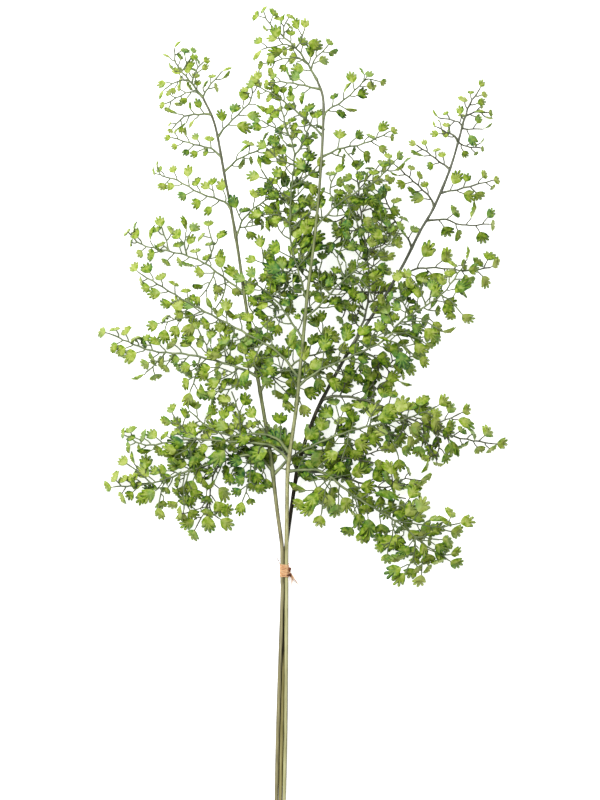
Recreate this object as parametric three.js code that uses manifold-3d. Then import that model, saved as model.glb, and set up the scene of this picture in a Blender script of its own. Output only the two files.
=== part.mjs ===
// A bunch of three maidenhair fern sprays, tied with raffia and lying on a surface.
// Millimetres. +Y runs from the cut ends to the tips, +X is to the right, +Z is up.
// The origin is on the surface, under the middle of the bunch.
import * as THREE from 'three';
import { mergeVertices } from 'three/addons/utils/BufferGeometryUtils.js';
import Module from 'manifold-3d';

const wasm = await Module();
wasm.setup();

// ---- driving dimensions -------------------------------------------------------------------

const GAP = 0.3;                 // room between pieces that touch

const STEM_RADIUS = 1.55;        // at the cut ends
const STEM_TOP_RADIUS = 0.95;    // where the tip is pushed on
const STEM_SIDES = 8;
const STEM_STEP = 32;            // length of one straight facet along a stem

const RACHIS_RADIUS = 0.9;       // of a side branch at its foot
const RACHIS_TIP_RADIUS = 0.5;
const RACHIS_SIDES = 4;
const RACHIS_STEP = 22;
const FOOT_SHIFT = 0.2;          // step by which a foot is moved out of its stem
const FOOT_REACH = 15;           // stretch of stem, either way, that it is kept clear of

const TWIG_MAX = 26;             // longest twig, near the foot of a long branch
const TWIG_TAPER = 0.75;         // below 1 keeps the twigs long past the middle of the branch
const LONG_BRANCH = 110;         // shorter branches than this have shorter twigs
const TWIG_MIN = 10;             // past the last twig of this length come single leaflets
const TWIG_SPREAD = 0.95;        // angle between a twig and its branch, radians
const TWIG_STEP = 11;            // between twigs, left and right in turn
const KEPT_TWIGS = [true, false, false, true];   // of every four twigs the solids keep two
const FIRST_TWIG = 13;           // bare length at the foot of a branch
const TWIG_ROOT = 2;             // stretch at the foot of a twig that lies within its branch
const FIRST_LEAF = 5;            // bare length at the foot of a twig

const BLADE = 0.7;               // thickness of a leaflet and of the rib that bears it
const RIB_HALF = 0.6;            // half the width of that rib
const SINK = 1.2;                // how far a rib starts inside what carries it
const LEAF_LOW = 14;             // leaflet width on the lowest branches
const LEAF_HIGH = 6;             // and at the very top
const LEAF_LOW_Y = 340;
const LEAF_HIGH_Y = 690;
const LEAF_SHRINK = 0.3;         // smaller towards the end of each branch
const SMALL_LEAF = 7;            // below this width a leaflet has two fingers, above it three
const LARGE_LEAF = 11.5;         // above this width its stalk is drawn in as well
const LEAF_STEP = 0.92;          // between leaflets along a rib, in leaflet widths
const LAST_LEAF = 0.8;           // from the last of them to the one at the end, in widths
const LEAF_SPREAD = 0.85;        // angle between a stalk and its rib, radians
const CUP = 0.008;               // how far the fingers hang: times the square of the reach

const TIE_START = 204;           // the raffia band along the stems
const TIE_LENGTH = 13;
const TIE_THICKNESS = 1.1;

// ---- the three sprays, as routes over the surface -------------------------------------------
// A stem's points are x, y, z. A branch leaves its stem at height foot, passes its x, y points,
// and rises (or sinks) by rise[0] half way and by rise[1] at its end.

const SPRAYS = [
  {
    name: 'left',
    colour: 0x9a945f,
    stem: [
      [-21, 0, 1.55], [-19.2, 80, 4.4], [-15.6, 186, 7.4], [-15.6, 200, 7.4], [-15.6, 220, 7.4],
      [-16.2, 235, 8], [-20.1, 264, 11.5], [-26.2, 315, 19], [-34.1, 363, 25], [-41.1, 404, 29],
      [-49, 455, 33], [-56, 503, 35], [-66.5, 560, 36], [-74.4, 601, 36], [-84.9, 625, 36],
    ],
    tip: [[-96, 639, 35], [-108, 654, 33], [-110, 667, 30]],
    branches: [
      {
        name: 'left_side_1', foot: 299, rise: [-1, -12],
        route: [[-39, 312], [-66, 308], [-96, 299], [-131, 287], [-164, 284]],
      },
      {
        name: 'left_side_2', foot: 381, rise: [-4, -24],
        route: [[-57, 390], [-96, 400], [-131, 404], [-168, 419]],
      },
      {
        name: 'left_side_3', foot: 454, rise: [-10, -32],
        route: [[-71, 470], [-99, 487], [-131, 494], [-150, 507]],
      },
      {
        name: 'left_side_4', foot: 527, rise: [3, -4],
        route: [[-75, 536], [-92, 544], [-124, 562]],
      },
      {
        name: 'left_side_5', foot: 573, rise: [-3, -6],
        route: [[-77, 580], [-92, 584], [-112, 590]],
      },
      {
        name: 'left_side_6', foot: 610, rise: [3, 1],
        route: [[-88, 610], [-101, 608], [-111, 598]],
      },
      {
        name: 'right_side_1', foot: 295, rise: [2, 4],
        route: [[-9, 309], [4, 317], [31, 329], [54, 336], [92, 344], [120, 355]],
      },
      {
        name: 'right_side_2', foot: 368, rise: [0, 2],
        route: [[-26, 380], [-10, 388], [2, 397], [31, 405]],
      },
      {
        name: 'right_side_3', foot: 429, rise: [-2, -2],
        route: [[-37, 442], [-24, 454], [-7, 477], [4, 492]],
      },
      {
        name: 'right_side_4', foot: 503, rise: [4, 4],
        route: [[-49, 519], [-33, 533], [-10, 544]],
      },
      {
        name: 'right_side_5', foot: 560, rise: [-4, -6],
        route: [[-54, 571], [-39, 578], [-24, 586]],
      },
      {
        name: 'right_side_6', foot: 590, rise: [4, 6],
        route: [[-65, 599], [-54, 610], [-43, 622], [-42, 634]],
      },
    ],
  },
  {
    name: 'centre',
    colour: 0xa39a66,
    stem: [
      [-14.2, 0, 1.55], [-12.6, 80, 4.4], [-12, 186, 7.4], [-12, 200, 7.4], [-12, 220, 7.4],
      [-11.8, 235, 8.6], [-11.4, 264, 14], [-10.9, 295, 21], [-8.8, 315, 26], [-3.5, 352, 35],
      [0, 387, 42], [3.5, 422, 47], [7, 457, 51], [13.1, 505, 55], [17.5, 553, 57],
      [20.1, 597, 57], [20.1, 623, 56], [14.9, 639, 55],
    ],
    tip: [[8.7, 650, 54], [-3.5, 667, 52], [-26, 688, 48], [-34, 704, 44]],
    branches: [
      {
        name: 'left_side_1', foot: 307, rise: [2, -14],
        route: [[-24, 320], [-44, 323], [-96, 326], [-134, 321], [-153, 329]],
      },
      {
        name: 'left_side_2', foot: 314, rise: [4, -2],
        route: [[-21, 327], [-38, 331], [-58, 329], [-79, 336], [-96, 350]],
      },
      {
        name: 'left_side_3', foot: 380, rise: [-2, -12],
        route: [[-19, 402], [-44, 417], [-76, 434], [-105, 450], [-141, 472]],
      },
      {
        name: 'left_side_4', foot: 413, rise: [-3, -4],
        route: [[-9, 431], [-19, 445], [-33, 458], [-46, 464]],
      },
      {
        name: 'left_side_5', foot: 448, rise: [4, 2],
        route: [[0, 468], [-8, 500], [-8, 536], [-5, 575], [-12, 598], [-17, 619]],
      },
      {
        name: 'left_side_6', foot: 590, rise: [-3, -5],
        route: [[7, 603], [-6, 614], [-22, 626], [-38, 634]],
      },
      {
        name: 'left_side_7', foot: 631, rise: [3, 0],
        route: [[4, 634], [-13, 637], [-26, 637]],
      },
      {
        name: 'right_side_1', foot: 298, rise: [-3, -14],
        route: [[18, 298], [48, 276], [83, 255], [109, 234], [130, 220]],
      },
      {
        name: 'right_side_2', foot: 373, rise: [3, -6],
        route: [[18, 387], [39, 396], [74, 413], [89, 430], [122, 451], [140, 474], [145, 482]],
      },
      {
        name: 'right_side_3', foot: 430, rise: [-3, -6],
        route: [[18, 444], [39, 466], [74, 494], [86, 508]],
      },
      {
        name: 'right_side_4', foot: 511, rise: [3, 0],
        route: [[31, 529], [50, 542], [66, 551], [83, 569]],
      },
      {
        name: 'right_side_5', foot: 572, rise: [-3, -4],
        route: [[31, 580], [52, 585], [77, 596]],
      },
      {
        name: 'right_side_6', foot: 605, rise: [3, 4],
        route: [[35, 615], [51, 629], [57, 645]],
      },
    ],
  },
  {
    name: 'right',
    colour: 0x4a3a20,
    stem: [
      [-17.6, 0, 1.55], [-15.9, 80, 2.6], [-13.8, 186, 4.5], [-13.8, 200, 4.5], [-13.8, 220, 4.5],
      [-11.8, 235, 4.6], [-8.3, 260, 5.5], [-3.5, 292, 8], [2.6, 318, 10], [11.4, 343, 12],
      [20.1, 362, 13], [42, 402, 14], [57.8, 426, 14.5], [73.5, 450, 15], [91, 480, 15.5],
      [105, 508, 16], [117.2, 529, 16], [131.2, 562, 16], [139.1, 588, 16], [142, 599, 16],
    ],
    tip: [[145, 609, 15.5], [149, 620, 15], [158, 634, 12]],
    branches: [
      {
        name: 'left_side_1', foot: 299, rise: [-1, -5],
        route: [[-13, 315], [-33, 320], [-57, 312], [-74, 299], [-81, 269]],
      },
      {
        name: 'left_side_2', foot: 409, rise: [5, 4],
        route: [[58, 438], [60, 474], [54, 520], [50, 560]],
      },
      {
        name: 'left_side_3', foot: 457, rise: [-5, -6],
        route: [[66, 455], [48, 456], [31, 458]],
      },
      {
        name: 'left_side_4', foot: 494, rise: [-4, -4],
        route: [[94, 503], [84, 517], [75, 537], [68, 544]],
      },
      {
        name: 'left_side_5', foot: 530, rise: [3, 3],
        route: [[115, 537], [102, 550], [84, 566]],
      },
      {
        name: 'left_side_6', foot: 563, rise: [-3, -4],
        route: [[122, 570], [112, 578], [103, 584]],
      },
      {
        name: 'left_side_7', foot: 587, rise: [3, 2],
        route: [[136, 592], [129, 595], [120, 600]],
      },
      {
        name: 'right_side_1', foot: 293, rise: [2, 0],
        route: [[9, 298], [39, 292], [68, 284], [92, 286]],
      },
      {
        name: 'right_side_2', foot: 315, rise: [3, 3],
        route: [[13, 312], [39, 310], [63, 306]],
      },
      {
        name: 'right_side_3', foot: 361, rise: [2, -10],
        route: [[35, 364], [61, 359], [94, 345], [133, 329], [170, 322]],
      },
      {
        name: 'right_side_4', foot: 402, rise: [-4, -7],
        route: [[57, 402], [70, 394], [86, 378]],
      },
      {
        name: 'right_side_5', foot: 469, rise: [-3, -14],
        route: [[105, 476], [127, 476], [147, 474], [167, 477]],
      },
      {
        name: 'right_side_6', foot: 518, rise: [-4, -6],
        route: [[127, 519], [144, 514], [166, 515]],
      },
      {
        name: 'right_side_7', foot: 542, rise: [3, 1],
        route: [[138, 545], [153, 549], [168, 553]],
      },
    ],
  },
];

// ---- paths ------------------------------------------------------------------------------------

const UP = new THREE.Vector3(0, 0, 1);

// A smooth curve through points, read by distance along it.
function makePath(points) {
  const curve = new THREE.CatmullRomCurve3(points, false, 'catmullrom', 0.5);
  const line = curve.getPoints((points.length - 1) * 12);
  const marks = [0];
  for (let i = 1; i < line.length; i += 1) {
    marks.push(marks[i - 1] + line[i].distanceTo(line[i - 1]));
  }
  const length = marks[marks.length - 1];
  function segment(distance) {
    let i = 1;
    while (i < line.length - 1 && marks[i] < distance) {
      i += 1;
    }
    return i;
  }
  return {
    length,
    at(distance) {
      const i = segment(distance);
      const share = (distance - marks[i - 1]) / (marks[i] - marks[i - 1]);
      return line[i - 1].clone().lerp(line[i], share);
    },
    along(distance) {
      const i = segment(distance);
      return line[i].clone().sub(line[i - 1]).normalize();
    },
  };
}

// The distance along a stem at which it passes height y.
function distanceAtY(path, y) {
  let low = 0;
  let high = path.length;
  for (let i = 0; i < 40; i += 1) {
    const middle = (low + high) / 2;
    if (path.at(middle).y < y) {
      low = middle;
    } else {
      high = middle;
    }
  }
  return low;
}

function stemRadius(path, distance) {
  return STEM_RADIUS + (STEM_TOP_RADIUS - STEM_RADIUS) * (distance / path.length);
}

// ---- solids -----------------------------------------------------------------------------------

function toSolid(geometry) {
  geometry.deleteAttribute('normal');
  geometry.deleteAttribute('uv');
  const merged = mergeVertices(geometry, 1e-5);
  return new wasm.Manifold(new wasm.Mesh({
    numProp: 3,
    vertProperties: merged.attributes.position.array,
    triVerts: merged.index.array,
  }));
}

function toGeometry(solid) {
  const { vertProperties, triVerts } = solid.getMesh();
  const geometry = new THREE.BufferGeometry();
  geometry.setAttribute('position', new THREE.BufferAttribute(vertProperties, 3));
  geometry.setIndex(new THREE.BufferAttribute(triVerts, 1));
  geometry.computeVertexNormals();
  return geometry;
}

// A thin solid over flat faces, the same on both sides. place(point, height) says where a point
// of its underside (height 0) or of its top (height 1) goes.
function blade(points, faces, place) {
  const count = points.length;
  const index = [];
  const edges = new Set();
  for (const [a, b, c] of faces) {
    index.push(c, b, a, a + count, b + count, c + count);
    edges.add(`${a} ${b}`).add(`${b} ${c}`).add(`${c} ${a}`);
  }
  for (const edge of edges) {
    const [a, b] = edge.split(' ').map(Number);
    if (!edges.has(`${b} ${a}`)) {
      index.push(a, b, b + count, a, b + count, a + count);
    }
  }
  const corners = [0, 1].flatMap((height) => points.map((point) => place(point, height)));
  const geometry = new THREE.BufferGeometry().setFromPoints(corners);
  geometry.setIndex(index);
  return geometry;
}

// Moves every vertex of an extruded outline to where place(x, y, z) puts it.
function bend(outline, steps, place) {
  const shape = new THREE.Shape(outline.map(([x, y]) => new THREE.Vector2(x, y)));
  const geometry = new THREE.ExtrudeGeometry(shape, { depth: 1, steps, bevelEnabled: false });
  const position = geometry.attributes.position;
  for (let i = 0; i < position.count; i += 1) {
    const moved = place(position.getX(i), position.getY(i), position.getZ(i));
    position.setXYZ(i, moved.x, moved.y, moved.z);
  }
  return geometry;
}

function polygon(sides) {
  return Array.from({ length: sides }, (_, i) => {
    const angle = ((i + 0.5) / sides) * 2 * Math.PI;
    return [Math.cos(angle), Math.sin(angle)];
  });
}

// A tube along a path, from one distance to another, its radius a function of the distance.
function tube(path, from, to, radiusAt, sides, step) {
  const steps = Math.max(1, Math.round((to - from) / step));
  return bend(polygon(sides), steps, (x, y, z) => {
    const distance = from + (to - from) * z;
    const radius = radiusAt(distance);
    const side = UP.clone().cross(path.along(distance)).normalize();
    const rise = path.along(distance).cross(side);
    return path.at(distance).addScaledVector(side, x * radius).addScaledVector(rise, y * radius);
  });
}

// ---- keeping pieces clear of each other -----------------------------------------------------
// Each piece that is placed leaves probes: points with a radius, and the name of its node.

const OWN_ROOM = 0.9;            // leaflets of one node may stand this much closer
const TUBE_PROBE_STEP = 2.5;
const placed = [];

function probesAt(points, radius, node, leafy) {
  return points.map((point) => ({ point, radius, node, leafy }));
}

function leaveProbes(points, radius, node, leafy) {
  placed.push(...probesAt(points, radius, node, leafy));
}

function isClear(points, radius, node, others = placed) {
  return others.every((other) => {
    const own = other.node === node;
    if (own && !other.leafy) {
      return true;
    }
    const room = (radius + other.radius) * (own ? OWN_ROOM : 1);
    return points.every((point) => point.distanceToSquared(other.point) > room * room);
  });
}

function tubeProbes(path, from, to) {
  const count = Math.ceil((to - from) / TUBE_PROBE_STEP) + 1;
  return Array.from({ length: count }, (_, i) => path.at(from + ((to - from) * i) / (count - 1)));
}

// ---- sprigs: a rib with leaflets left and right in turn and one at its end ---------------------

// A seeded draw of numbers from 0 to 1, the same on every run.
let seed = 7;
function draw() {
  seed = (Math.imul(seed, 1664525) + 1013904223) >>> 0;
  return seed / 2 ** 32;
}

// A factor near 1, up to spread more or less.
function vary(spread) {
  return 1 + spread * (2 * draw() - 1);
}

// Half outlines of a leaflet in its widths: across, and along from the root of its stalk.
const THREE_FINGERS = [[0.5, 0.85], [0.2, 1.02], [0, 1.35]];
const NECK = [0.08, 0.45];
const TWO_FINGERS = [[0.48, 1.1], [0, 0.92]];
const LEAF_PROBES = [[0, 0.45], [0, 0.85], [-0.4, 0.9], [0.4, 0.9], [0, 1.2]];
const LEAF_PROBE_RADIUS = 0.2;   // in leaflet widths
const POSES = [0, 0.3, -0.3, 0.6, -0.6];

// Leaflets at equal steps from the end of the rib back to its start; side 0 is the one at the end.
function leafletsOn(length, size, first) {
  const leaflets = [{ at: length, side: 0, size }];
  let side = draw() < 0.5 ? -1 : 1;
  let at = length - LAST_LEAF * size;
  while (at > first) {
    leaflets.push({ at, side, size: size * vary(0.1) });
    side = -side;
    at -= LEAF_STEP * size;
  }
  return leaflets.reverse();
}

// A place on a leaflet, in its widths, as a place on the flat sprig: across, along the rib, and
// how far along the rib the leaflet stands.
function onSprig(leaf, x, y) {
  const angle = leaf.side * LEAF_SPREAD;
  const [across, along] = [x * leaf.size, y * leaf.size];
  return [
    leaf.side * RIB_HALF * 0.5 + across * Math.cos(angle) + along * Math.sin(angle),
    leaf.at - across * Math.sin(angle) + along * Math.cos(angle),
    leaf.at,
  ];
}

// A place on an edge of the rib itself.
function onRib(side, along) {
  return [side * RIB_HALF, along, along];
}

function leafHalf(leaf) {
  if (leaf.size > LARGE_LEAF) {
    return [NECK, ...THREE_FINGERS];
  }
  return leaf.size > SMALL_LEAF ? THREE_FINGERS : TWO_FINGERS;
}

// Round a leaflet, from the right of its stalk to the left.
function roundLeaflet(leaf) {
  const half = leafHalf(leaf);
  const mirrored = half.slice(0, -1).reverse().map(([x, y]) => [-x, y]);
  return [...half, ...mirrored].map(([x, y]) => onSprig(leaf, x, y));
}

// The rib is a ladder of rungs, two at the foot of each side leaflet, so that both its edges
// follow the same curve. Every leaflet has faces of its own.
function sprigFaces(sprig, kept) {
  const sideLeaflets = kept.filter((leaf) => leaf.side !== 0);
  const feet = sideLeaflets.flatMap((leaf) => [leaf.at - RIB_HALF, leaf.at + RIB_HALF]);
  const points = [sprig.from - SINK, ...feet, sprig.to].flatMap((at) => [onRib(-1, at), onRib(1, at)]);
  const left = (rung) => 2 * rung;
  const right = (rung) => 2 * rung + 1;
  const last = feet.length + 1;
  const faces = [];
  for (let rung = 0; rung < last; rung += 1) {
    faces.push([left(rung), right(rung), right(rung + 1)]);
    faces.push([left(rung), right(rung + 1), left(rung + 1)]);
  }
  function addLeaflet(leaf, start, end) {
    const corners = [start, ...roundLeaflet(leaf).map((point) => points.push(point) - 1), end];
    const flat = corners.map((corner) => new THREE.Vector2(points[corner][0], points[corner][1]));
    for (const face of THREE.ShapeUtils.triangulateShape(flat, [])) {
      faces.push(face.map((i) => corners[i]));
    }
  }
  sideLeaflets.forEach((leaf, i) => {
    const [low, high] = [2 * i + 1, 2 * i + 2];
    if (leaf.side > 0) {
      addLeaflet(leaf, right(low), right(high));
    } else {
      addLeaflet(leaf, left(high), left(low));
    }
  });
  for (const leaf of kept.filter((one) => one.side === 0)) {
    addLeaflet(leaf, right(last), left(last));
  }
  return { points, faces };
}

// Puts a place on the flat sprig into the bunch; height 0 is its underside and 1 its top. Each
// leaflet lies in one plane but for its hanging edges, whatever way the rib turns beyond it.
// What would sink below the surface lies flat on it.
function sprigPlace(sprig, [across, along, station], height) {
  const heading = sprig.path.along(station);
  const side = heading.clone().cross(UP).normalize().applyAxisAngle(heading, sprig.roll);
  const normal = side.clone().cross(heading);
  const reach = along - station;
  const moved = sprig.path.at(station)
    .addScaledVector(heading, reach)
    .addScaledVector(side, across)
    .addScaledVector(normal, (height - 0.5) * BLADE - CUP * (across * across + reach * reach));
  return moved.setZ(Math.max(moved.z, height * BLADE));
}

// The leaflets of a sprig that are clear of what is placed and of each other, with their probes.
function clearLeaflets(sprig, leaflets, node) {
  const kept = [];
  const probes = [];
  for (const leaf of leaflets) {
    const points = LEAF_PROBES.map(([x, y]) => sprigPlace(sprig, onSprig(leaf, x, y), 0.5));
    const radius = LEAF_PROBE_RADIUS * leaf.size;
    if (isClear(points, radius, node) && isClear(points, radius, node, probes)) {
      kept.push(leaf);
      probes.push(...probesAt(points, radius, node, true));
    }
  }
  return { kept, probes };
}

// Of several poses, the first in which the most leaflets are clear.
function bestPose(makeSprig, leaflets, node) {
  let best = null;
  for (const pose of POSES) {
    const sprig = makeSprig(pose);
    if (sprig) {
      const { kept, probes } = clearLeaflets(sprig, leaflets, node);
      if (!best || kept.length > best.kept.length) {
        best = { sprig, kept, probes };
      }
    }
  }
  return best;
}

function placeSprig({ sprig, kept, probes }, solids) {
  placed.push(...probes);
  const { points, faces } = sprigFaces(sprig, kept);
  const place = (point, height) => sprigPlace(sprig, point, height);
  solids.push(toSolid(blade(points, faces, place)));
}

// A twig leaves its branch at an angle and curves forward; a pose is how steeply it climbs.
function placeTwig(path, distance, side, length, size, node, solids) {
  const root = path.at(distance);
  const along = path.along(distance);
  const leaflets = leafletsOn(length, size, FIRST_LEAF);
  const turned = (angle) => along.clone().applyAxisAngle(UP, -side * angle);
  const roll = (draw() - 0.5) * 0.6;
  const makeSprig = (climb) => {
    const middle = root.clone().addScaledVector(turned(TWIG_SPREAD), length * 0.5);
    middle.z += length * 0.5 * climb;
    const end = middle.clone().addScaledVector(turned(TWIG_SPREAD * 0.6), length * 0.5);
    end.z += length * 0.25 * climb;
    const twig = makePath([root, middle, end]);
    const probes = tubeProbes(twig, TWIG_ROOT, twig.length);
    const free = end.z > BLADE && isClear(probes, RIB_HALF + GAP, node);
    return free ? { path: twig, from: SINK, to: twig.length, roll } : null;
  };
  const best = bestPose(makeSprig, leaflets, node);
  if (best) {
    const twig = best.sprig.path;
    leaveProbes(tubeProbes(twig, TWIG_ROOT, twig.length), RIB_HALF + GAP, node, false);
    placeSprig(best, solids);
  }
}

// Twigs shorten towards the end of a branch; share is how far along it they stand.
function twigLength(path, share) {
  const left = Math.max(0, 1 - share);
  return TWIG_MAX * left ** TWIG_TAPER * Math.min(1, path.length / LONG_BRANCH);
}

// The twigs of one branch, then the sprig that is its end. A pose of the end is how far it rolls.
function dress(path, footY, footRadius, node) {
  const height = THREE.MathUtils.clamp((footY - LEAF_LOW_Y) / (LEAF_HIGH_Y - LEAF_LOW_Y), 0, 1);
  const largest = LEAF_LOW + (LEAF_HIGH - LEAF_LOW) * height;
  const solids = [];
  let distance = FIRST_TWIG;
  let share = distance / path.length;
  for (let i = 0; twigLength(path, share) > TWIG_MIN; i += 1) {
    if (KEPT_TWIGS[i % KEPT_TWIGS.length]) {
      const size = largest * (1 - LEAF_SHRINK * share) * vary(0.1);
      const length = twigLength(path, share) * vary(0.15);
      placeTwig(path, distance, i % 2 === 0 ? 1 : -1, length, size, node, solids);
    }
    distance += TWIG_STEP;
    share = distance / path.length;
  }
  const size = largest * (1 - LEAF_SHRINK);
  const leaflets = leafletsOn(path.length, size, distance);
  const makeSprig = (roll) => ({ path, from: distance, to: path.length, roll });
  placeSprig(bestPose(makeSprig, leaflets, node), solids);
  const radiusAt = (at) => footRadius + ((RACHIS_TIP_RADIUS - footRadius) * at) / path.length;
  solids.push(toSolid(tube(path, 0, distance, radiusAt, RACHIS_SIDES, RACHIS_STEP)));
  return solids;
}

// ---- sub-parts ----------------------------------------------------------------------------------

const bunch = new THREE.Group();

function addMesh(name, solids, colour, roughness) {
  const bodies = wasm.Manifold.union(solids).simplify(0.004).decompose();
  bodies.sort((a, b) => b.volume() - a.volume());
  const material = new THREE.MeshStandardMaterial({ color: colour, roughness, metalness: 0 });
  const mesh = new THREE.Mesh(toGeometry(bodies[0]), material);
  mesh.name = name;
  bunch.add(mesh);
}

function toVectors(points) {
  return points.map(([x, y, z]) => new THREE.Vector3(x, y, z));
}

function makeStem(spray) {
  const path = makePath(toVectors(spray.stem));
  const node = `${spray.name}_stem`;
  const radiusAt = (distance) => stemRadius(path, distance);
  leaveProbes(tubeProbes(path, 0, path.length), STEM_RADIUS + GAP, node, false);
  const solid = toSolid(tube(path, 0, path.length, radiusAt, STEM_SIDES, STEM_STEP));
  addMesh(node, [solid], spray.colour, 0.6);
  return path;
}

// A branch starts just clear of its stem and rises or sinks in one smooth arch.
function branchPath(branch, stem) {
  const footDistance = distanceAtY(stem, branch.foot);
  const foot = stem.at(footDistance);
  const [sag, end] = branch.rise;
  const count = branch.route.length;
  const rest = branch.route.map(([x, y], i) => {
    const t = (i + 1) / count;
    return new THREE.Vector3(x, y, foot.z + (2 * end - 4 * sag) * t * t + (4 * sag - end) * t);
  });
  const away = rest[0].clone().sub(foot).normalize();
  const room = stemRadius(stem, footDistance) + 2 * GAP + RACHIS_RADIUS;
  const from = Math.max(0, footDistance - FOOT_REACH);
  const to = Math.min(stem.length, footDistance + FOOT_REACH);
  const nearby = tubeProbes(stem, from, to);
  const start = foot.clone();
  while (nearby.some((point) => point.distanceTo(start) < room)) {
    start.addScaledVector(away, FOOT_SHIFT);
  }
  return makePath([start, ...rest]);
}

function tipPath(spray, stem) {
  const top = stem.at(stem.length).addScaledVector(stem.along(stem.length), GAP);
  return makePath([top, ...toVectors(spray.tip)]);
}

// The raffia band follows the three stems all round, with its knot and two short ends on the right.
function makeTie(stems) {
  const middles = stems.map((stem) => stem.at(distanceAtY(stem, TIE_START + TIE_LENGTH / 2)));
  const inner = stemRadius(stems[0], TIE_START) + GAP;
  const around = (offset) => Array.from({ length: 16 }, (_, i) => {
    const angle = (i / 16) * 2 * Math.PI;
    const [x, z] = [Math.cos(angle), Math.sin(angle)];
    const reach = (point) => point.x * x + point.z * z;
    const outermost = middles.reduce((best, point) => (reach(point) > reach(best) ? point : best));
    return new THREE.Vector2(-(outermost.x + offset * x), outermost.z + offset * z);
  });
  const shape = new THREE.Shape(around(inner + TIE_THICKNESS).reverse());
  shape.holes.push(new THREE.Path(around(inner)));
  const band = new THREE.ExtrudeGeometry(shape, { depth: TIE_LENGTH, bevelEnabled: false });
  const position = band.attributes.position;
  for (let i = 0; i < position.count; i += 1) {
    position.setXYZ(i, -position.getX(i), TIE_START + position.getZ(i), position.getY(i));
  }
  const outside = Math.max(...around(inner + TIE_THICKNESS).map((point) => -point.x));
  const knot = new THREE.SphereGeometry(2.3, 10, 6);
  knot.translate(outside + 1.4, TIE_START + 4, middles[1].z);
  const knotMiddle = new THREE.Vector3(outside + 1.6, TIE_START + 4, middles[1].z);
  const ends = [[5, -9, -2.5], [2, -12, 0.5]].map(([x, y, z]) => {
    const end = knotMiddle.clone().add(new THREE.Vector3(x, y, z));
    const half = knotMiddle.clone().lerp(end, 0.5).add(new THREE.Vector3(1.2, 0, 0.5));
    const path = makePath([knotMiddle, half, end]);
    return toSolid(tube(path, 0, path.length, () => 0.7, 4, 5));
  });
  addMesh('raffia_tie', [toSolid(band), toSolid(knot), ...ends], 0xd9a878, 0.8);
}

// ---- assembly -----------------------------------------------------------------------------------

const stems = SPRAYS.map(makeStem);

// Every rachis is placed before any leaflet, so that the leaflets give way.
const leafy = [];
SPRAYS.forEach((spray, i) => {
  for (const branch of spray.branches) {
    leafy.push({
      node: `${spray.name}_${branch.name}`,
      path: branchPath(branch, stems[i]),
      footY: branch.foot,
      footRadius: RACHIS_RADIUS,
    });
  }
  const path = tipPath(spray, stems[i]);
  leafy.push({ node: `${spray.name}_tip`, path, footY: path.at(0).y, footRadius: STEM_TOP_RADIUS });
});
for (const { node, path } of leafy) {
  leaveProbes(tubeProbes(path, 0, path.length), RACHIS_RADIUS + GAP, node, false);
}
for (const { node, path, footY, footRadius } of leafy) {
  addMesh(node, dress(path, footY, footRadius, node), 0x7a9a2e, 0.55);
}
makeTie(stems);

// The origin goes under the middle of the bunch, on the surface that it lies on.
const box = new THREE.Box3().setFromObject(bunch);
const middle = box.getCenter(new THREE.Vector3());
bunch.position.set(-middle.x, -middle.y, -box.min.z);

export default bunch;
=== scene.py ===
"""A bunch of three maidenhair fern sprays, tied with raffia, lying on a pale surface.

The layout is in millimetres, as in the part's source: x to the right, y from the cut ends to the
tips, z up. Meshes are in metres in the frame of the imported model, which is moved from the layout.
"""
import math
import random

import bpy
import numpy as np
from mathutils import Euler, Matrix, Vector


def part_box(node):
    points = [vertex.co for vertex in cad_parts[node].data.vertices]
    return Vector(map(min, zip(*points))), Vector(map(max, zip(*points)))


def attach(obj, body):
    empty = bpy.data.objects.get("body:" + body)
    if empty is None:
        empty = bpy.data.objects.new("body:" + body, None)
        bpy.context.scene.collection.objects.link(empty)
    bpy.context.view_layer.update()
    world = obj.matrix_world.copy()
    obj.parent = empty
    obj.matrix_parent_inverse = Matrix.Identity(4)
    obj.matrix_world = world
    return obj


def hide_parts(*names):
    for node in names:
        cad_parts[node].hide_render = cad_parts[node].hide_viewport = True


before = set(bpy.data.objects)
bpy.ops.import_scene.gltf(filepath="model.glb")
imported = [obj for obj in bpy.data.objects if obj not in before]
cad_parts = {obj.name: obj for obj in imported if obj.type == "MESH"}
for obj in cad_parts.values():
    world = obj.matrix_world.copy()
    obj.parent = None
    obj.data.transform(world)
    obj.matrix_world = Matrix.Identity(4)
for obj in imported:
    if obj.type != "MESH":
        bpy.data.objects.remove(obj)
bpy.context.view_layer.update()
MM = 0.001

# ---- the three sprays: stems, tips and branches ----

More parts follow.
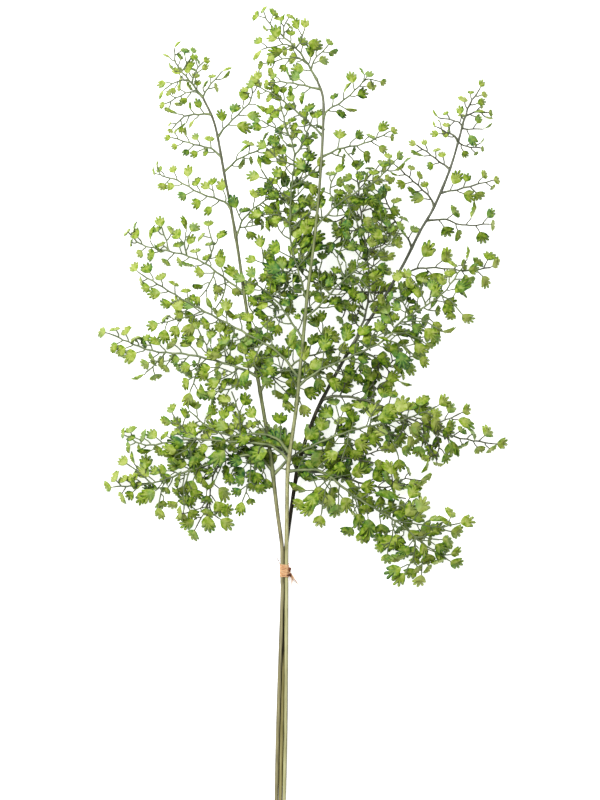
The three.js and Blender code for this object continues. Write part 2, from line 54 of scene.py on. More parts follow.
# Each stem's x, y, z points from its cut end up, those of its tip, and how far the tip's foliage
# reaches to its left and right.
STEM_POINTS = {
    "left": (
        (-21, 0, 1.55), (-19.2, 80, 4.4), (-15.6, 186, 7.4), (-15.6, 200, 7.4), (-15.6, 220, 7.4),
        (-16.2, 235, 8), (-20.1, 264, 11.5), (-26.2, 315, 19), (-34.1, 363, 25), (-41.1, 404, 29),
        (-49, 455, 33), (-56, 503, 35), (-66.5, 560, 36), (-74.4, 601, 36), (-84.9, 625, 36),
    ),
    "centre": (
        (-14.2, 0, 1.55), (-12.6, 80, 4.4), (-12, 186, 7.4), (-12, 200, 7.4), (-12, 220, 7.4),
        (-11.8, 235, 8.6), (-11.4, 264, 14), (-10.9, 295, 21), (-8.8, 315, 26), (-3.5, 352, 35),
        (0, 387, 42), (3.5, 422, 47), (7, 457, 51), (13.1, 505, 55), (17.5, 553, 57),
        (20.1, 597, 57), (20.1, 623, 56), (14.9, 639, 55),
    ),
    "right": (
        (-17.6, 0, 1.55), (-15.9, 80, 2.6), (-13.8, 186, 4.5), (-13.8, 200, 4.5), (-13.8, 220, 4.5),
        (-11.8, 235, 4.6), (-8.3, 260, 5.5), (-3.5, 292, 8), (2.6, 318, 10), (11.4, 343, 12),
        (20.1, 362, 13), (42, 402, 14), (57.8, 426, 14.5), (73.5, 450, 15), (91, 480, 15.5),
        (105, 508, 16), (117.2, 529, 16), (131.2, 562, 16), (139.1, 588, 16), (142, 599, 16),
    ),
}
TIP_POINTS = {
    "left": ((-96, 639, 35), (-108, 654, 33), (-110, 667, 30)),
    "centre": ((8.7, 650, 54), (-3.5, 667, 52), (-26, 688, 48), (-31, 698, 44)),
    "right": ((145, 609, 15.5), (149, 620, 15), (158, 634, 12)),
}
TIP_REACH = {"left": (13, 12), "centre": (15, 13), "right": (10, 19)}

# The y at which each branch leaves its stem, how far it rises half way and at its end, how far its
# foliage reaches to its left and right, and x and y of each point that it passes, in turn.
BRANCHES = {
    "left_left_side_1": (299, (-1, -12), (32, 26),
        (-39, 312, -66, 308, -96, 299, -131, 287, -164, 284)),
    "left_left_side_2": (381, (-4, -24), (30, 30), (-57, 390, -96, 400, -131, 404, -168, 419)),
    "left_left_side_3": (454, (-10, -32), (24, 15),
        (-75, 474, -83, 480, -99, 487, -115, 491, -139, 497, -150, 507)),
    "left_left_side_4": (527, (3, -4), (21, 21),
        (-67, 534, -87, 541, -101, 549, -111, 554, -120, 556, -124, 562)),
    "left_left_side_5": (573, (-3, -6), (18, 14), (-77, 580, -92, 584, -112, 590)),
    "left_left_side_6": (610, (3, 1), (13, 13), (-88, 610, -101, 608, -111, 598)),
    "left_right_side_1": (295, (2, 4), (26, 28),
        (-9, 309, 4, 317, 31, 329, 54, 336, 92, 344, 120, 355)),
    "left_right_side_2": (368, (0, 2), (28, 28), (-26, 380, -10, 388, 2, 397, 31, 405)),
    "left_right_side_3": (429, (-2, -2), (32, 30), (-37, 442, -24, 454, -7, 477, 4, 492)),
    "left_right_side_4": (503, (4, 4), (23, 28), (-49, 519, -33, 533, -10, 544)),
    "left_right_side_5": (560, (-4, -6), (13, 13), (-54, 571, -39, 578, -24, 586)),
    "left_right_side_6": (590, (4, 6), (13, 13), (-65, 599, -54, 610, -43, 622, -42, 634)),
    "centre_left_side_1": (307, (2, -14), (24, 24),
        (-24, 320, -44, 323, -96, 326, -134, 321, -153, 329)),
    "centre_left_side_2": (314, (4, -2), (14, 32), (-21, 327, -38, 331, -58, 329, -79, 336, -96, 350)),
    "centre_left_side_3": (380, (-2, -12), (30, 28),
        (-19, 402, -44, 417, -76, 434, -105, 450, -141, 472)),
    "centre_left_side_4": (413, (-3, -4), (30, 28), (-9, 431, -19, 445, -33, 458, -46, 464)),
    "centre_left_side_5": (448, (4, 2), (30, 32),
        (0, 468, -8, 500, -8, 536, -5, 575, -12, 598, -17, 619)),
    "centre_left_side_6": (590, (-3, -5), (19, 18), (7, 603, -6, 614, -22, 626, -38, 634)),
    "centre_left_side_7": (631, (3, 0), (14, 14), (4, 634, -13, 637, -26, 637)),
    "centre_right_side_1": (298, (-3, -14), (30, 33), (18, 298, 48, 276, 83, 255, 109, 234, 130, 220)),
    "centre_right_side_2": (373, (3, -6), (32, 28),
        (18, 387, 39, 396, 74, 413, 89, 430, 122, 451, 140, 474, 145, 482)),
    "centre_right_side_3": (430, (-3, -6), (30, 30), (18, 444, 39, 466, 74, 494, 86, 508)),
    "centre_right_side_4": (511, (3, 0), (19, 28), (31, 529, 50, 542, 66, 551, 83, 569)),
    "centre_right_side_5": (572, (-3, -4), (21, 23), (29, 577, 37, 580, 53, 583, 68, 589, 77, 594)),
    "centre_right_side_6": (605, (3, 4), (14, 16), (23, 612, 35, 619, 47, 629, 57, 640)),
    "right_left_side_1": (299, (-1, -5), (17, 18), (-13, 315, -33, 320, -57, 312, -74, 299, -81, 269)),
    "right_left_side_2": (409, (5, 4), (32, 30), (58, 438, 60, 474, 54, 520, 50, 560)),
    "right_left_side_3": (457, (-5, -6), (23, 23), (66, 455, 48, 456, 31, 458)),
    "right_left_side_4": (494, (-4, -4), (16, 12), (94, 503, 84, 517, 75, 537, 68, 544)),
    "right_left_side_5": (530, (3, 3), (13, 13), (115, 537, 102, 550, 84, 566)),
    "right_left_side_6": (563, (-3, -4), (11, 11), (122, 570, 112, 578, 103, 584)),
    "right_left_side_7": (587, (3, 2), (9, 9), (136, 592, 129, 595, 120, 600)),
    "right_right_side_1": (293, (2, 0), (21, 18), (9, 298, 39, 292, 68, 284, 92, 286)),
    "right_right_side_2": (315, (3, 3), (19, 19), (13, 312, 39, 310, 63, 306)),
    "right_right_side_3": (361, (2, -10), (23, 23), (35, 364, 61, 359, 94, 345, 133, 329, 170, 322)),
    "right_right_side_4": (402, (-4, -7), (14, 16), (57, 402, 70, 394, 86, 378)),
    "right_right_side_5": (469, (-3, -14), (21, 18), (105, 476, 127, 476, 147, 474, 167, 477)),
    "right_right_side_6": (518, (-4, -6), (16, 16), (127, 519, 144, 514, 166, 515)),
    "right_right_side_7": (542, (3, 1), (13, 14), (138, 545, 153, 549, 168, 553)),
}

# Side branches of the branches: x and y of each point in turn, from one near the branch it leaves.
OFFSHOOTS = {
    "centre_right_side_1": (
        (109, 233, 108, 222, 107, 210), (97, 235, 109, 240, 122, 238), (26, 290, 16, 284, 5, 273),
        (26, 290, 22, 280, 19, 262), (46, 279, 51, 266, 52, 247),
        (84, 255, 101, 252, 122, 249, 138, 252), (84, 255, 81, 242, 77, 228),
        (97, 235, 100, 224, 93, 210), (74, 266, 88, 268, 103, 268)),
    "left_right_side_1": (
        (73, 339, 80, 327, 86, 312), (44, 332, 41, 321, 37, 310), (30, 329, 34, 342, 32, 354),
        (60, 337, 64, 350, 71, 360)),
    "right_left_side_1": (
        (-80, 277, -87, 266, -100, 261), (-80, 273, -78, 262, -72, 257),
        (-81, 273, -84, 262, -91, 249)),
    "right_right_side_3": (
        (35, 364, 39, 374, 37, 385), (60, 359, 66, 369, 74, 376), (118, 332, 122, 321, 120, 308),
        (91, 344, 89, 332, 83, 324), (91, 346, 105, 332, 118, 312), (105, 340, 122, 341, 141, 349)),
    "left_left_side_2": (
        (-57, 389, -55, 374, -68, 369, -81, 368), (-88, 396, -91, 382, -96, 369),
        (-66, 391, -66, 405, -70, 417), (-80, 395, -82, 408, -88, 420),
        (-118, 402, -126, 393, -135, 385)),
    "left_left_side_3": (
        (-83, 480, -76, 494, -80, 511), (-99, 487, -101, 495, -100, 507),
        (-115, 491, -117, 499, -121, 511), (-75, 474, -79, 462, -86, 452),
        (-66, 468, -66, 455, -73, 442)),
    "centre_left_side_1": ((-96, 326, -105, 339, -111, 347), (-92, 327, -99, 317, -109, 312)),
    "left_left_side_1": (
        (-96, 298, -102, 282, -102, 264), (-118, 290, -122, 280, -124, 269),
        (-33, 307, -32, 299, -37, 290), (-44, 311, -44, 292, -50, 273),
        (-131, 287, -142, 297, -150, 303), (-90, 301, -98, 309, -109, 309)),
    "centre_right_side_2": (
        (109, 444, 105, 457, 98, 466), (96, 435, 89, 448, 86, 461), (74, 413, 88, 409, 102, 398),
        (88, 430, 108, 429, 122, 422), (80, 419, 94, 418, 108, 411), (122, 452, 133, 446, 140, 437)),
    "centre_left_side_2": ((-52, 330, -54, 350, -60, 368),),
    "centre_left_side_5": (
        (-10, 592, -23, 598, -33, 604), (-7, 566, -19, 570, -28, 579), (-6, 572, 3, 586, 10, 604),
        (-8, 536, -21, 544, -33, 560), (-8, 510, 4, 520, 15, 531), (-8, 545, 3, 552, 14, 563),
        (-8, 515, -20, 522, -31, 522)),
    "left_tip": (
        (-85, 627, -96, 630, -117, 620), (-98, 639, -107, 639, -118, 632),
        (-84, 625, -80, 634, -69, 647), (-95, 637, -91, 648, -85, 655),
        (-103, 648, -98, 656, -94, 663)),
    "centre_tip": (
        (7, 654, -4, 659, -30, 654), (-4, 667, -13, 670, -32, 666), (10, 648, 12, 656, 24, 669),
        (-4, 667, 1, 674, 4, 683), (-15, 677, -14, 685, -11, 692)),
    "centre_left_side_3": (
        (-83, 438, -103, 432, -122, 428), (-33, 410, -40, 394, -33, 382),
        (-57, 424, -60, 409, -68, 402)),
    "centre_left_side_4": ((-13, 435, -28, 429, -37, 417), (-24, 452, -12, 461, -14, 472)),
    "centre_right_side_3": (
        (26, 453, 16, 464, 19, 481), (44, 470, 57, 461, 63, 448), (39, 467, 33, 485, 39, 499),
        (78, 499, 72, 510, 70, 522)),
    "left_right_side_3": (
        (-26, 453, -12, 448, 0, 452), (-14, 467, -30, 476, -33, 492), (-7, 477, 5, 474, 15, 465)),
    "right_left_side_2": (
        (58, 448, 72, 448, 83, 457), (54, 509, 39, 508, 31, 500), (56, 492, 72, 496, 80, 508),
        (53, 525, 66, 530, 77, 528), (50, 550, 60, 556, 69, 566), (53, 520, 42, 522, 32, 517)),
    "left_right_side_4": ((-33, 533, -22, 527, -10, 525), (-20, 540, -8, 532, 5, 530)),
    "right_left_side_3": ((48, 456, 42, 446, 38, 434),),
    "right_right_side_2": ((39, 310, 46, 320, 56, 327), (50, 308, 62, 314, 75, 317)),
    "centre_right_side_4": ((31, 529, 26, 544, 31, 557), (39, 536, 46, 522, 51, 511)),
    "left_right_side_2": (
        (-24, 381, -16, 371, -6, 364), (-10, 387, -4, 374, 0, 359), (2, 397, 10, 388, 21, 384),
        (15, 401, 20, 413, 20, 426)),
    "right_left_side_4": ((84, 517, 74, 512, 64, 513),),
    "right_right_side_4": (
        (57, 402, 52, 391, 46, 380), (70, 395, 68, 382, 61, 371), (76, 389, 84, 396, 96, 398)),
    "centre_right_side_6": ((54, 637, 60, 640, 68, 638),),
    "right_left_side_7": ((139, 587, 146, 583, 158, 582),),
    "right_right_side_1": ((80, 285, 92, 291, 104, 290), (68, 284, 80, 276, 93, 274)),
    "right_tip": (
        (145, 610, 153, 613, 164, 613), (142, 597, 149, 598, 160, 598), (142, 600, 138, 605, 123, 608)),
}

STEM_RADIUS = 1.55          # at the cut ends
STEM_FULL_RADIUS = 1.75     # between these two distances from the cut end
STEM_FULL = (30, 300)
STEM_TOP_RADIUS = 0.95
STEM_SIDES = 14
STEM_STEP = 3               # between rings along a stem
STEM_SWELL = 0.16           # thicker by this share where a branch leaves it
STEM_SWELL_LENGTH = 3.5
SLEEVES = {"left": 502, "centre": 608, "right": 544}    # where an upper piece is pushed on
SLEEVE_SWELL = 0.3          # thicker by this share
SLEEVE_LENGTH = 9
SLEEVE_SLOPES = (0.8, 2.5)  # lengths of its slopes, below and above

RACHIS_RADIUS = (1.35, 0.9)    # of a side branch near its foot, low down and from half way up
RACHIS_CHANGE = 100         # length of the bunch over which it changes, from LEAF_LOW_Y up
RACHIS_TIP_RADIUS = 0.6
FLARE = 0.45                # a foot is thicker than its branch by this share
FLARE_LENGTH = 4
RACHIS_STEP = 3             # between rings along a branch, and along a twig
KINK = 0.4                  # sideways step of a branch from twig to twig
STALK_SIDES = 6
STALK_RADIUS = 0.49         # of the stalk that bears one leaflet, half way along
STALK_END = 1.1             # thicker by this factor at both ends
STALK_ARCH = 0.08           # its rise half way, as a share of its length

TWIG_STEP = (8.5, 5.2)      # between twigs along a branch, at its foot and at its end
TWIG_TAPER = 0.75           # below 1 keeps the twigs long past the middle of the branch
TWIG_RADIUS = 0.54          # at the foot of a very short twig
TWIG_THICKER = 0.01         # for each millimetre that it is longer
TWIG_LOWEST = 1.5           # least height of its end
END_TWIG = 4                # length of the last twig, without its leaflet's stalk
TWIG_SPREAD = 1.05          # angle between a twig and its branch, radians
FORK_MIN = 15               # longer twigs fork
FORK_LENGTH = 0.6           # of the fork and of its leaflets, as shares of the twig's
FORK_LEAF = 0.95
FIRST_TWIG = 9              # bare length at the foot of a branch
FIRST_LEAF = 3.5            # and at the foot of a twig
LAST_TWIG = 0.25            # bare length at the end of a branch, in leaflet widths
OFFSHOOT_REACH = (12, 12)
OFFSHOOT_RISE = 4
OFFSHOOT_LOWEST = 3
OFFSHOOT_RADIUS = 0.62

LEAF_WIDTH = (20.5, 12.5)   # of a leaflet on the lowest branches, and at the very top
LEAF_LOW_Y = 340
LEAF_HIGH_Y = 690
LEAF_SHRINK = 0.3           # smaller towards the end of each branch
LEAF_STEP = 0.47            # between leaflets along a twig, in leaflet widths
SMALL_SHARE = 0.25          # of the side leaflets, much smaller than the rest
LEAF_SPREAD = 0.9           # angle between a stalk and its twig, radians
LEAF_STALK = 0.42           # usual length of a stalk, in leaflet widths
TWIG_END_STALK = 0.24
BRANCH_END_STALK = 0.2
LEAF_DROOP = 0.55           # a leaflet hangs from its stalk by up to this angle
LEAF_ROLL = 0.3             # usual angle by which it is turned about its length
EDGE_ROLL = (1.0, 1.4)      # the same where it stands on edge
EDGE_ON = (0.06, 0.12)      # share of the leaflets that do, low down and at the top
LEAF_ROOM = 0.49            # least distance between two leaflets, in leaflet widths
DEPTH_SHARE = 0.6           # how much a difference in height counts in that distance
LEAF_TRIES = 6              # for a clear place, before a leaflet is left out
PLUMES = {                  # foliage with a scale of its own, and its share that stands on edge
    "left_tip": (0.9, 0.3), "left_left_side_6": (0.72, 0.45), "left_left_side_5": (0.78, 0.35),
    "left_left_side_4": (0.88, 0.15), "centre_tip": (1.1, 0.1), "right_tip": (0.85, 0.25),
    "right_left_side_7": (0.7, 0.3), "right_left_side_6": (0.75, 0.3),
    "right_left_side_5": (0.85, 0.3), "left_left_side_1": (0.87, 0.06),
    "centre_left_side_1": (0.87, 0.06), "centre_left_side_2": (0.87, 0.06),
    "right_right_side_5": (1.15, 0.06), "right_right_side_6": (1.2, 0.1),
}
FLOOR_ROOM = 0.4            # least height of a leaflet's edge


# ---- paths and lines ----

def pairs(row):
    """The points of a row that lists their x and y in turn."""
    return list(zip(row[::2], row[1::2]))


class Path:
    """A smooth curve through points, read by distance along it."""

    def __init__(self, points):
        p = np.array([tuple(point) for point in points], float)
        p = np.vstack([2 * p[0] - p[1], p, 2 * p[-1] - p[-2]])
        t = np.linspace(0, 1, 12, endpoint=False)[:, None]
        spans = [
            0.5 * (2 * b + (c - a) * t + (2 * a - 5 * b + 4 * c - d) * t**2
                   + (3 * b - a - 3 * c + d) * t**3)
            for a, b, c, d in zip(p, p[1:], p[2:], p[3:])
        ]
        self.line = np.vstack([*spans, p[-2]])
        steps = np.linalg.norm(np.diff(self.line, axis=0), axis=1)
        self.marks = np.concatenate([[0], np.cumsum(steps)])
        self.length = float(self.marks[-1])

    def at(self, distance):
        return Vector([np.interp(distance, self.marks, self.line[:, k]) for k in range(3)])

    def along(self, distance):
        reach = 0.5
        return (self.at(distance + reach) - self.at(distance - reach)).normalized()

    def distance_at(self, y):
        return float(np.interp(y, self.line[:, 1], self.marks))


def turned(direction, angle):
    """direction turned to the left by angle, seen from above."""
    c, s = math.cos(angle), math.sin(angle)
    x, y, z = direction
    return Vector((c * x - s * y, s * x + c * y, z))


def between(ends, share):
    """The value at that share of the way from the first end to the second."""
    return ends[0] + (ends[1] - ends[0]) * share


# The layout's origin in the frame. It follows from the low corner of the right stem's box, where
# its cut end is, an octagon round its first point.
FACET = STEM_RADIUS * math.cos(math.pi / 8)
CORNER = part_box("right_stem")[0]
SHIFT = Vector((CORNER.x / MM - STEM_POINTS["right"][0][0] + FACET, CORNER.y / MM, 0))


def to_frame(place):
    return tuple((Vector(place) + SHIFT) * MM)


def give(mesh, name, kind, values):
    """Adds an attribute of that name and kind to the mesh's points."""
    mesh.attributes.new(name, kind, "POINT").data.foreach_set("value", values)


class Lines:
    """Lines with a thickness, which grow into tubes."""

    def __init__(self):
        self.points, self.edges, self.thickness = [], [], []

    def line(self, points, radii):
        start = len(self.points)
        self.points += points
        self.thickness += list(radii)
        self.edges += [(i, i + 1) for i in range(start, len(self.points) - 1)]

    def mesh(self, name):
        mesh = bpy.data.meshes.new(name)
        mesh.from_pydata([to_frame(point) for point in self.points], self.edges, [])
        give(mesh, "thickness", "FLOAT", [radius * MM for radius in self.thickness])
        return mesh


# ---- leaflets: hands of three to five round-ended fingers ----

HEART = 0.36                # the fingers radiate from this far along the leaflet
BASE = ((0.1, 0.06), (0.22, 0.18), (0.32, 0.34))    # its rounded base, from the root to a finger
BASE_REACH = 0.46           # of the outer finger that this base fits
RIB = 0.6                   # length of a finger's rib, as a share of its reach
FINGER_SIDE = ((0.8, 1.0), (0.95, 0.6))     # its outline: shares of its reach and half width
NOTCH = 0.56                # how far out the cuts between fingers end
BLADE_THICKNESS = 0.04


def leaflet_mesh(name, fingers, droop, fold, bend):
    """A leaflet about one unit wide, its root at the origin and its middle finger along +Y.

    fingers gives the angle, reach and half width of each, from right to left. Fingertips hang by
    droop, the notches between them sink by fold, and bend lifts (or sinks) the sides.
    """
    points = [(0.0, 0.0, 1.0), (0.0, HEART, 0.8)]
    root, heart = 0, 1

    def put(across, along, vein):
        points.append((across, along, vein))
        return len(points) - 1

    def out(degrees, reach, vein, shift=0.0):
        angle = math.radians(degrees)
        c, s = math.cos(angle), math.sin(angle)
        return put(reach * s + shift * c, HEART + reach * c - shift * s, vein)

    width = fingers[0][1] / BASE_REACH
    base = [put(x * width, y, 0.2) for x, y in BASE]
    notch = base[-1]
    rim = [root, *base]
    faces = [(root, *base, heart)]
    for number, (degrees, reach, half) in enumerate(fingers):
        middle = out(degrees, RIB * reach, 1.0)
        near = [out(degrees, far * reach, 0.0, wide * half) for far, wide in FINGER_SIDE]
        tip = out(degrees, reach, 0.1)
        back = [out(degrees, far * reach, 0.0, -wide * half) for far, wide in FINGER_SIDE[::-1]]
        if number + 1 < len(fingers):
            next_degrees, next_reach, _ = fingers[number + 1]
            following = out((degrees + next_degrees) / 2, NOTCH * min(reach, next_reach), 0.0)
        else:
            width = reach / BASE_REACH
            base = [put(-x * width, y, 0.2) for x, y in reversed(BASE)]
            following = base[0]
        faces += [(heart, notch, middle), (heart, middle, following),
                  (notch, *near, tip, middle), (middle, tip, *back, following)]
        rim += [*near, tip, *back, following]
        notch = following
    faces.append((heart, *base, root))
    rim += base[1:]
    count = len(points)

    def height(across, along, vein):
        reach2 = across * across + along * along
        return bend * across * across - droop * reach2 - fold * (1 - vein) * math.sqrt(reach2)

    top = [(x, y, height(x, y, vein)) for x, y, vein in points]
    bottom = [(x, y, z - BLADE_THICKNESS) for x, y, z in top]
    rim_pairs = list(zip(rim, rim[1:] + rim[:1]))
    walls = [(b, a, a + count, b + count) for a, b in rim_pairs]
    under = [tuple(count + corner for corner in reversed(face)) for face in faces]
    mesh = bpy.data.meshes.new(name)
    mesh.from_pydata(top + bottom, [], faces + under + walls)
    give(mesh, "vein", "FLOAT", [point[2] for point in points] * 2)
    give(mesh, "blade", "BOOLEAN", [True] * (2 * count))
    sharp = {frozenset((a + layer, b + layer)) for a, b in rim_pairs for layer in (0, count)}
    for edge in mesh.edges:
        edge.use_edge_sharp = frozenset(edge.vertices) in sharp
    return mesh


def hand(spread, *reaches, half=0.095):
    """Fingers spread evenly to spread degrees either side."""
    gaps = len(reaches) - 1
    return [(spread - 2 * spread * i / gaps, reach, half) for i, reach in enumerate(reaches)]


# Fingers, droop, fold and bend of each kind.
LEAFLETS = (
    (hand(56, 0.54, 0.62, 0.66, 0.6, 0.5), 0.16, 0.26, 0.05),
    (hand(48, 0.56, 0.66, 0.62, 0.52, half=0.105), 0.34, 0.24, 0.15),
    (hand(52, 0.54, 0.64, 0.68, 0.6, 0.5), 0.05, 0.32, 0.30),
    (hand(62, 0.5, 0.58, 0.66, 0.62, 0.5), 0.24, 0.24, -0.05),
    (hand(44, 0.55, 0.66, 0.62, 0.5, half=0.1), 0.36, 0.24, -0.15),
    (hand(36, 0.58, 0.68, 0.55, half=0.12), 0.22, 0.22, 0.15),
    (hand(58, 0.52, 0.62, 0.66, 0.62, 0.5), 0.50, 0.26, -0.35),
    (hand(48, 0.55, 0.66, 0.64, 0.52, half=0.105), 0.14, 0.28, 0.5),
)
SMALL_LEAF = 11             # narrower leaflets are of the small kinds, with three or four fingers
SMALL_KINDS = (1, 4, 5, 4, 5)
LARGE_KINDS = (0, 1, 2, 3, 6, 7)

LEAFLET_SHAPES = bpy.data.collections.new("leaflets")
leaf_points = []            # the corners of each kind, to keep leaflets above the floor
for number, shape in enumerate(LEAFLETS):
    leaf_mesh = leaflet_mesh(f"leaflet_{number}", *shape)
    LEAFLET_SHAPES.objects.link(bpy.data.objects.new(leaf_mesh.name, leaf_mesh))
    leaf_points.append(np.array([tuple(corner.co) for corner in leaf_mesh.vertices]))


# ---- foliage: the stalks and leaflets of one node ----

UP = Vector((0, 0, 1))
leaf_places = []            # of every leaflet placed so far: x, y, z and width

# Where the leaflets are darker, with painted shade deep in the bunch: x, y and radius.
PAINTED_SHADE_SPOTS = (
    (-53, 293, 17), (39, 312, 20), (33, 363, 16), (3, 583, 32), (66, 531, 20), (53, 248, 24),
    (-10, 440, 24), (35, 480, 26), (-80, 320, 20), (70, 395, 18), (-17, 545, 26), (25, 520, 22),
    (96, 440, 16), (14, 300, 14),
)
PAINTED_SHADE = 0.22

# A leaflet's tint is its place in the leaf colours, from 0, darkest, to 1.
TINT = 0.4
TINT_SPREAD = 0.19          # from twig to twig
LEAF_TINT_SPREAD = 0.1      # and from leaflet to leaflet
BRANCH_TINT = 0.08          # paler by this towards the end of a branch
HEIGHT_TINT = 0.09          # and by this towards the top of the bunch
TWIG_END_TINT = 0.08        # and by this at the end of a twig
BRANCH_END_TINT = 0.65      # of the last leaflet of a branch


def painted_shade_at(place):
    """How much darker painted shade makes a leaflet at that place, as a change of tint."""
    nearest = min((place.xy - Vector((x, y))).length / radius for x, y, radius in PAINTED_SHADE_SPOTS)
    return -PAINTED_SHADE * math.exp(-nearest * nearest)


def is_clear(place, size):
    if not leaf_places:
        return True
    others = np.array(leaf_places)
    apart = (others[:, :3] - np.array(place)) * (1, 1, DEPTH_SHARE)
    gaps = np.linalg.norm(apart, axis=1)
    return bool((gaps > LEAF_ROOM * 0.5 * (others[:, 3] + size)).all())


class Foliage(Lines):
    """Stalks, and leaflets with a place, a turn, a size, a kind and a tint."""

    def __init__(self, node, height):
        super().__init__()
        self.rng = random.Random(node)
        self.height = height        # 0 on the lowest branches, 1 at the very top
        self.scale, self.edge_on = PLUMES.get(node, (1, between(EDGE_ON, height)))
        self.leaves = []

    def leaflet(self, root, direction, size, tint, stalk=LEAF_STALK):
        """A leaflet at the end of a stalk, whose usual length is given in leaflet widths."""
        rng = self.rng
        # the tint takes painted shade from the spots deep in the bunch
        tint += painted_shade_at(root) + rng.gauss(0, LEAF_TINT_SPREAD)
        size *= self.scale
        kind = rng.choice(SMALL_KINDS if size < SMALL_LEAF else LARGE_KINDS)
        for attempt in range(LEAF_TRIES):
            heading = turned(direction, rng.uniform(-0.25, 0.25) * (1 + attempt))
            heading.z += rng.uniform(-0.35, 0.2)
            heading.normalize()
            length = size * stalk * rng.uniform(0.7, 1.3) * (1 + 0.12 * attempt)
            droop = rng.uniform(0, LEAF_DROOP)
            roll = rng.gauss(0, LEAF_ROLL)
            if rng.random() < self.edge_on:
                roll = rng.choice((-1, 1)) * rng.uniform(*EDGE_ROLL)
            side = heading.cross(UP).normalized()
            blade = (Matrix.Rotation(-droop, 3, side) @ heading).normalized()
            side = Matrix.Rotation(roll, 3, blade) @ side
            normal = side.cross(blade)
            end = root + heading * length
            lowest = (leaf_points[kind] @ np.array((side.z, blade.z, normal.z))).min() * size
            end.z = max(end.z, FLOOR_ROOM - lowest)
            centre = end + blade * size * 0.5
            if is_clear(centre, size):
                break
        else:
            return
        middle = (root + end) * 0.5 + UP * (STALK_ARCH * length)
        thick = STALK_RADIUS * STALK_END
        self.line((root, middle, end), (thick, STALK_RADIUS, thick))
        leaf_places.append((*centre, size))
        turn = Matrix((side, blade, normal)).transposed().to_quaternion()
        self.leaves.append((end, turn, size, kind, tint))

    def twig(self, root, heading, side, length, size, tint):
        """A twig with leaflets left and right in turn, one at its end, and a fork if it is long."""
        rng = self.rng
        out = turned(heading, -side * TWIG_SPREAD * rng.uniform(0.85, 1.15))
        out.z += rng.uniform(-0.5, 0.2)
        forward = turned(heading, -side * TWIG_SPREAD * rng.uniform(0.5, 1.0))
        forward.z += rng.uniform(-0.35, 0.2)
        middle = root + out.normalized() * length * 0.5
        end = middle + forward.normalized() * length * 0.5
        end.z = max(end.z, TWIG_LOWEST)
        path = Path((root, middle, end))
        count = max(3, round(length / RACHIS_STEP))
        radii = (TWIG_RADIUS + TWIG_THICKER * length, STALK_RADIUS)
        self.line([path.at(path.length * i / (count - 1)) for i in range(count)],
                  [between(radii, i / (count - 1)) for i in range(count)])
        if length > FORK_MIN:
            at = path.length * rng.uniform(0.3, 0.5)
            self.twig(path.at(at), path.along(at), -side, length * FORK_LENGTH, size * FORK_LEAF,
                      tint)
        end_tint = tint + TWIG_END_TINT
        self.leaflet(path.at(path.length), path.along(path.length), size, end_tint, TWIG_END_STALK)
        turn = -side
        step = LEAF_STEP * size * self.scale
        distance = path.length - step * rng.uniform(0.6, 1)
        while distance > FIRST_LEAF:
            out = turned(path.along(distance), -turn * LEAF_SPREAD)
            share = rng.uniform(0.5, 0.65) if rng.random() < SMALL_SHARE else rng.uniform(0.8, 1.05)
            self.leaflet(path.at(distance), out, size * share, tint)
            turn = -turn
            distance -= step * rng.uniform(0.85, 1.15)

    def branch(self, path, foot_radius, reach, start=0.0):
        """The rachis along path and its twigs, which reach so far to its left and right.

        start is how far along a larger branch this one leaves it.
        """
        rng = self.rng
        largest = between(LEAF_WIDTH, math.sqrt(self.height))
        distance = FIRST_TWIG * (1 - start) * self.scale
        side = rng.choice((-1, 1))
        kinks = [(0, 0.0)]
        while distance < path.length - LAST_TWIG * largest:
            share = distance / path.length
            outer = start + (1 - start) * share
            size = largest * (1 - LEAF_SHRINK * outer) * rng.uniform(0.78, 1.15)
            tint = TINT + BRANCH_TINT * outer + HEIGHT_TINT * self.height
            tint += rng.uniform(-TINT_SPREAD, TINT_SPREAD)
            longest = reach[0 if side < 0 else 1] - 0.9 * size
            length = max(END_TWIG, longest * (1 - share) ** TWIG_TAPER * rng.uniform(0.7, 1.15))
            heading = path.along(distance)
            across = heading.cross(UP).normalized()
            kinks.append((distance, side * KINK))
            self.twig(path.at(distance) + across * side * KINK, heading, side, length, size, tint)
            step = between(TWIG_STEP, max(outer, self.height))
            distance += step * self.scale * rng.uniform(0.85, 1.15)
            side = -side
        kinks.append((path.length, 0.0))
        marks = np.arange(0, path.length + RACHIS_STEP, RACHIS_STEP)
        marks[-1] = path.length
        shifts = np.interp(marks, *zip(*kinks))
        flare = 1 + FLARE * np.exp(-((marks / FLARE_LENGTH) ** 2))
        radii = (foot_radius + (RACHIS_TIP_RADIUS - foot_radius) * marks / path.length) * flare
        rachis = [path.at(mark) + path.along(mark).cross(UP).normalized() * shift
                  for mark, shift in zip(marks, shifts)]
        self.line(rachis, radii)
        self.leaflet(rachis[-1], path.along(path.length), largest * (1 - LEAF_SHRINK),
                     BRANCH_END_TINT, BRANCH_END_STALK)

    def offshoot(self, path, points, number):
        """A smaller branch that leaves the branch along path near the first of its points."""
        marks = np.linspace(0, path.length, 80)
        first = Vector((*points[0], 0))
        mark = min(marks, key=lambda m: (path.at(m) - first).to_2d().length)
        root = path.at(mark)
        rise = OFFSHOOT_RISE * (1 if number % 2 else -1)
        places = [root]
        for i, (x, y) in enumerate(points[1:]):
            height = root.z + rise * (i + 1) / (len(points) - 1)
            places.append((x, y, max(OFFSHOOT_LOWEST, height)))
        start = mark / path.length
        reach = [side * self.scale**2 for side in OFFSHOOT_REACH]
        self.branch(Path(places), OFFSHOOT_RADIUS, reach, min(0.8, max(0.4, start)))

